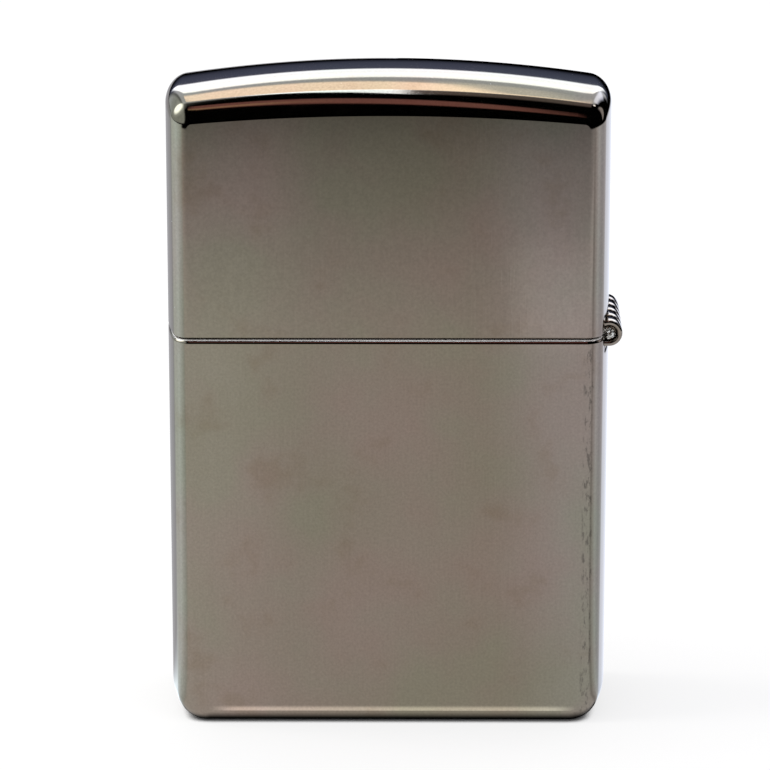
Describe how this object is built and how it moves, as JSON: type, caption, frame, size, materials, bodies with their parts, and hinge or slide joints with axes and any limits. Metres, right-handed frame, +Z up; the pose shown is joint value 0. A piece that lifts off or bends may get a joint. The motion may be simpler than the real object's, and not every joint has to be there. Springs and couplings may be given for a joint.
{
  "type": "flip-top petrol lighter",
  "caption": "Pocket petrol lighter: hinged mirror-black metal case with an arched lid, closed over a steel burner insert with chimney, striker wheel, flint column, wick and lid cam.",
  "frame": {"origin": "on the supporting surface, under the middle of the whole footprint, hinge included", "axes": "+Z up from the base to the arched top; +X across the width to the hinge; +Y through the depth, away from the broad face that has the hinge on its right"},
  "size_m": [0.039, 0.0128, 0.0574],
  "materials": {
    "black_chrome": "polished black-nickel plating on drawn brass",
    "stainless_steel": "satin stainless sheet",
    "spring_steel": "bright spring steel",
    "hard_steel": "hardened, file-cut steel",
    "brass": "plain turned brass",
    "flint_alloy": "dull pressed sparking alloy",
    "wick_cotton": "braided cotton",
    "rayon_wadding": "loose white wadding",
    "grey_felt": "pressed felt"
  },
  "bodies": {
    "case": {"bottom_case": "black_chrome", "hinge_lower_leaf": "black_chrome", "hinge_pin": "spring_steel", "insert_shell": "stainless_steel", "chimney": "stainless_steel", "wheel_rivet": "stainless_steel", "cam_rivet": "stainless_steel", "cam_spring": "spring_steel", "flint_tube": "brass", "flint_spring": "spring_steel", "flint_screw": "brass", "wick": "wick_cotton", "felt_pad": "grey_felt", "wadding_1": "rayon_wadding", "wadding_2": "rayon_wadding", "wadding_3": "rayon_wadding", "wadding_4": "rayon_wadding", "wadding_5": "rayon_wadding"},
    "lid": {"lid": "black_chrome", "hinge_upper_leaf": "black_chrome"},
    "striker": {"flint_wheel": "hard_steel"},
    "cam": {"cam": "stainless_steel"},
    "flint_column": {"flint": "flint_alloy", "flint_plunger": "brass"}
  },
  "joints": [
    {"name": "lid_hinge", "type": "hinge", "parent": "case", "child": "lid", "pos_m": [0.01833, 0, 0.0348], "axis": [0, 1, 0], "range_deg": [0, 125]},
    {"name": "cam_pivot", "type": "hinge", "parent": "case", "child": "cam", "pos_m": [0.01007, 0, 0.0395], "axis": [0, 1, 0], "range_deg": [0, 41]},
    {"name": "flint_wheel_spin", "type": "hinge", "parent": "case", "child": "striker", "pos_m": [-0.01083, 0, 0.0422], "axis": [0, 1, 0], "continuous": true},
    {"name": "flint_feed", "type": "slide", "parent": "case", "child": "flint_column", "axis": [0, 0, 1], "range_m": [-0.0012, 0], "stiffness_N_per_m": 120, "springref_m": 0.005, "deforming": ["flint_spring"]}
  ],
  "couplings": [
    {"joint": "cam_pivot", "follows": "lid_hinge", "ratio": 0.328}
  ]
}
